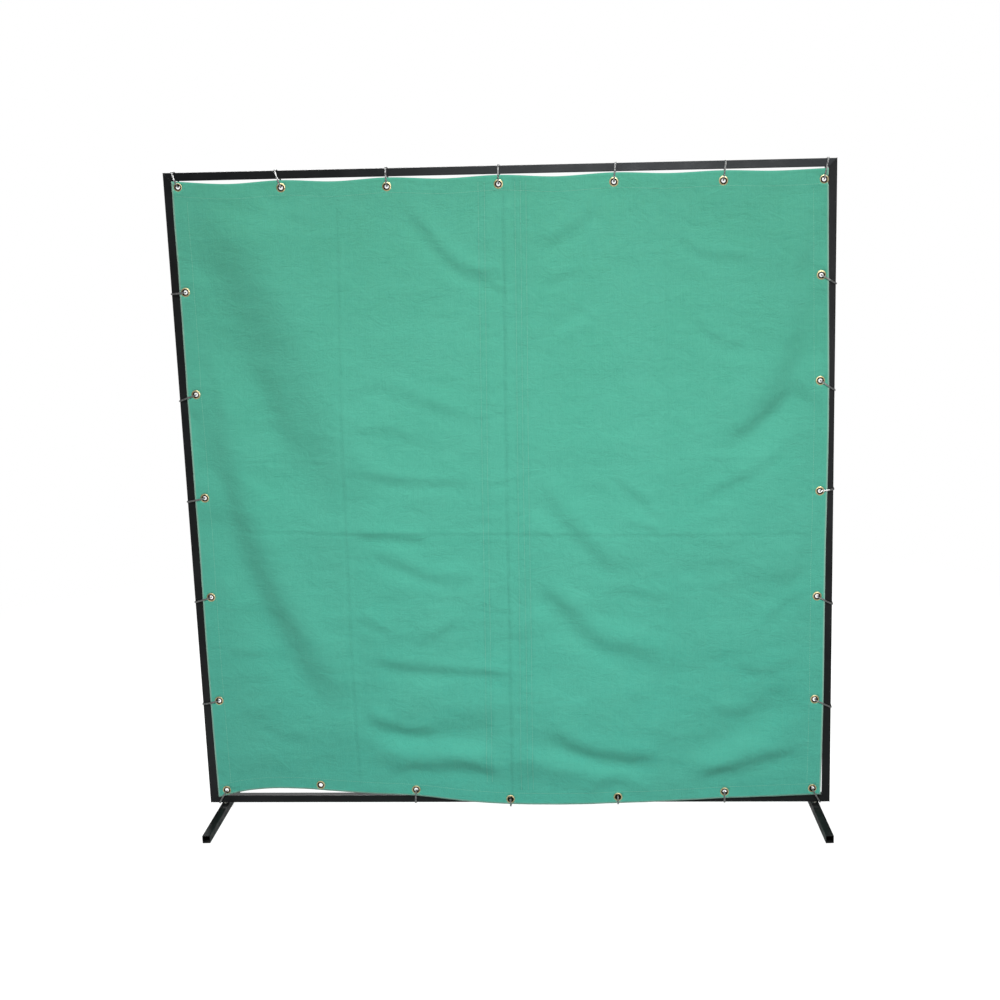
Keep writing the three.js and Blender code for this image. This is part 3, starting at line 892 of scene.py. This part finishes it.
# Each side's outward and along directions, how far out from the grommet its wires run over the front of the
# cloth, and how many degrees each wire leans.
TIES = {
    "left": (Vector((-1, 0, 0)), Vector((0, 0, 1)), 0.026, [-13, -17, -12, -20, -6]),
    "top": (Vector((0, 0, 1)), Vector((1, 0, 0)), 0.021, [-22, -19, -3, 0, 6, 8, 12]),
    "right": (Vector((1, 0, 0)), Vector((0, 0, -1)), 0.025, [30, 34, -6, 29, 28]),
    "bottom": (Vector((0, 0, -1)), Vector((-1, 0, 0)), 0.022, [-27, 0, 0, 0, 5, None, 31]),
}
FRAME_EDGE = {"left": FRAME_HALF, "right": FRAME_HALF, "top": FRAME_TOP, "bottom": -FRAME_BOTTOM}


def wire_tie(side, number, outward, along, margin, lean):
    """One tie. Its corners are given as (how far inward of the grommet's middle, Y in the frame)."""
    node = f"{side}_wire_tie_{number}"
    hole = GROMMETS[f"{side}_grommet_{number}"]
    inset = FRAME_EDGE[side] - hole.dot(outward)
    outer, inner = -inset - REACH, TUBE - inset + REACH
    before_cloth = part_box(node)[0].y + CAD_WIRE
    before_tube, behind_tube = -HALF_TUBE - REACH, HALF_TUBE + REACH
    corners = [(0, before_tube)]
    if inner > 0:
        corners.append((max(inner, LEAST_INNER), before_tube))
    corners += [(inner, behind_tube), (outer, behind_tube)]
    corners.append((min(-margin, outer), before_tube))
    corners += [(-margin, before_cloth), (0, before_cloth)]
    slope = math.tan(math.radians(lean))

    def place(inward, y):
        point = hole - inward * outward - inward * slope * along
        return Vector((point.x, y, point.z))

    twist_start = rng.uniform(0, math.tau)
    verts, faces = [], []

    def join(more, more_faces):
        offset = len(verts)
        verts.extend(more)
        faces.extend(tuple(v + offset for v in face) for face in more_faces)

    points = bent([place(inward, y) for inward, y in corners], BEND)
    for shift in (-STRAND_SHIFT, STRAND_SHIFT):
        join(*swept([point + shift * along for point in points], WIRE, closed=True))
    root = place(HALF_TUBE - inset, behind_tube)
    for phase in (0, math.pi):
        helix = []
        for k in range(TWIST_POINTS + 1):
            f = k / TWIST_POINTS
            angle = phase + twist_start + f * math.tau * TWIST_TURNS
            wide = TWIST_RADIUS * min(1, 0.3 + 2 * f)
            rise = wide * math.sin(angle) - TWIST_DROOP * f * f
            helix.append(root + Vector((wide * math.cos(angle), f * TWIST_LENGTH, rise)))
        join(*swept(helix, WIRE))
    tie = new_object(node + "_twisted", verts, faces, WIRE_METAL)
    ride(tie, replaces=(node,))


for side, (outward, along, margin, leans) in TIES.items():
    for number, lean in enumerate(leans, 1):
        if lean is not None:
            wire_tie(side, number, outward, along, margin, lean)


TUBE_CORNER, BEAD_STEP = 0.0016, 0.0012
BEAD_RADIUS, BEAD_RIPPLE, BEAD_ROUGHNESS = 0.00062, 0.00014, 0.00008


def corner_weld(name, x_sign, z_sign):
    """The dressed weld along one mitre: a low rippled bead round the tube in the corner's diagonal plane."""
    half = HALF_TUBE + 0.00005                    # just proud of the tube
    corner_x = x_sign * (FRAME_HALF - HALF_TUBE)
    corner_z = (FRAME_TOP if z_sign > 0 else FRAME_BOTTOM) - z_sign * HALF_TUBE
    outline = [(-half, -half), (half, -half), (half, half), (-half, half)]
    ring = bent([Vector((u, v, 0)) for u, v in outline], TUBE_CORNER, 4)
    path = []
    for i, start in enumerate(ring):
        end = ring[(i + 1) % len(ring)]
        pieces = max(1, int((end - start).length / BEAD_STEP))
        path += [start.lerp(end, k / pieces) for k in range(pieces)]
    points = [(corner_x + x_sign * q.x, q.y, corner_z + z_sign * q.x) for q in path]
    radii = [BEAD_RADIUS + BEAD_RIPPLE * math.sin(k * 1.9) + BEAD_ROUGHNESS * rng.uniform(-1, 1)
             for k in range(len(points))]
    verts, faces = swept(points, radii, closed=True)
    bead = new_object(name, verts, faces, WELD)
    ride(bead)


WELD = black_enamel("weld_enamel", *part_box("left_post"))
for level, z_sign in (("top", 1), ("bottom", -1)):
    for side, x_sign in (("left", -1), ("right", 1)):
        corner_weld(f"{level}_{side}_corner_weld", x_sign, z_sign)

# ---------------------------------------------------------------- floor, light and camera


# How bright the floor and the world are, as other rays meet them and as the camera sees them.
NEAR_GLOW, FAR_GLOW, WORLD_GLOW = (0.04, 0.80), (0.22, 1.0), (0.10, 1.0)
FLOOR_FADE = (1.5, 3.4)                           # the floor turns white over this distance from the part


def pale_floor():
    """Pale floor that runs out to white. It throws back less light than it shows, so folds keep their shade."""
    g = Graph("pale_floor")
    seen = g.add("ShaderNodeLightPath").outputs["Is Camera Ray"]
    far = g.add("ShaderNodeVectorMath", {0: g.coords}, operation="LENGTH").outputs["Value"]
    fade = g.between(far, *FLOOR_FADE)
    cloud = g.between(g.noise(2.0, 4), 0.3, 0.7)
    colour = g.mix(cloud, (0.40, 0.40, 0.40), (0.44, 0.44, 0.44))
    shader = g.add("ShaderNodeBsdfPrincipled", {"Base Color": colour, "Roughness": 0.9})
    shader.inputs["Emission Color"].default_value = (1, 1, 1, 1)
    g.feed(shader.inputs["Emission Strength"], g.between(seen, 0.0, 1.0, *NEAR_GLOW, smooth=False))
    far_strength = g.between(seen, 0.0, 1.0, *FAR_GLOW, smooth=False)
    glow = g.add("ShaderNodeEmission", {"Color": (1, 1, 1, 1), "Strength": far_strength})
    mixed = g.add("ShaderNodeMixShader", {0: fade, 1: shader.outputs[0], 2: glow.outputs[0]})
    g.tree.links.new(mixed.outputs[0], g.output.inputs["Surface"])
    return g.material


FLOOR_RADIUS, FLOOR_RINGS, FLOOR_SPOKES = 24, 14, 72
FLOOR_DROP = 0.0004                               # keeps the floor clear of the feet
spokes = [math.tau * s / FLOOR_SPOKES for s in range(FLOOR_SPOKES)]
floor_verts = [(0, 0, 0)]
for k in range(1, FLOOR_RINGS + 1):
    radius = FLOOR_RADIUS * (k / FLOOR_RINGS) ** 2
    floor_verts += [(radius * math.cos(angle), radius * math.sin(angle), 0) for angle in spokes]
floor_faces = [(0, 1 + s, 1 + (s + 1) % FLOOR_SPOKES) for s in range(FLOOR_SPOKES)]
for k in range(FLOOR_RINGS - 1):
    a, b = 1 + k * FLOOR_SPOKES, 1 + (k + 1) * FLOOR_SPOKES
    for s in range(FLOOR_SPOKES):
        after = (s + 1) % FLOOR_SPOKES
        floor_faces.append((a + s, b + s, b + after, a + after))
floor = new_object("studio_floor", floor_verts, floor_faces, pale_floor())
floor.location.z = -FLOOR_DROP

scene = bpy.context.scene
world = bpy.data.worlds.new("studio")
scene.world = world
world.use_nodes = True
tree = world.node_tree
background = tree.nodes["Background"]
background.inputs["Color"].default_value = (1, 1, 1, 1)
path = tree.nodes.new("ShaderNodeLightPath")
strength = tree.nodes.new("ShaderNodeMapRange")
strength.inputs["To Min"].default_value, strength.inputs["To Max"].default_value = WORLD_GLOW
tree.links.new(path.outputs["Is Camera Ray"], strength.inputs["Value"])
tree.links.new(strength.outputs["Result"], background.inputs["Strength"])


def light(name, kind, place, target, power, **settings):
    data = bpy.data.lights.new(name, kind)
    data.energy = power
    for key, value in settings.items():
        setattr(data, key, value)
    lamp = bpy.data.objects.new(name, data)
    scene.collection.objects.link(lamp)
    lamp.location = place
    lamp.rotation_euler = (Vector(target) - Vector(place)).to_track_quat("-Z", "Y").to_euler()


light("key_light", "AREA", place=(1.4, -8.0, 9.5), target=(0.1, 0, 0.9), power=1180,
      shape="RECTANGLE", size=2.6, size_y=2.6)
light("fill_light", "SPOT", place=(0.5, -5.0, 1.7), target=(0.14, 0, 1.02), power=290,
      spot_size=math.radians(30), spot_blend=1.0, shadow_soft_size=0.5)
light("back_light", "AREA", place=(-1.8, 6.5, 7.0), target=(0, 0, 0.9), power=620,
      shape="RECTANGLE", size=2.2, size_y=2.2)

YAW, PITCH, ROLL = 0.0522, -0.2065, 0.0219        # radians
SENSOR_WIDTH = 36
FOCAL_LENGTH = 1.5186 * SENSOR_WIDTH
CAMERA_PLACE = Vector((0.4432, -4.1825 - HALF_TUBE, 1.7584 + FRAME_BOTTOM))
turn = Matrix.Rotation(YAW, 3, "Z") @ Matrix.Rotation(PITCH, 3, "X") @ Matrix.Rotation(ROLL, 3, "Y")
right, forward, up = turn.col[0], turn.col[1], turn.col[2]
camera_data = bpy.data.cameras.new("camera")
camera_data.sensor_width = SENSOR_WIDTH
camera_data.lens = FOCAL_LENGTH
camera_data.shift_x = -0.0868
camera_data.shift_y = 0.0084
camera = bpy.data.objects.new("camera", camera_data)
scene.collection.objects.link(camera)
camera.matrix_world = Matrix.Translation(CAMERA_PLACE) @ Matrix((right, up, -forward)).transposed().to_4x4()
scene.camera = camera
scene.view_settings.view_transform = "Standard"
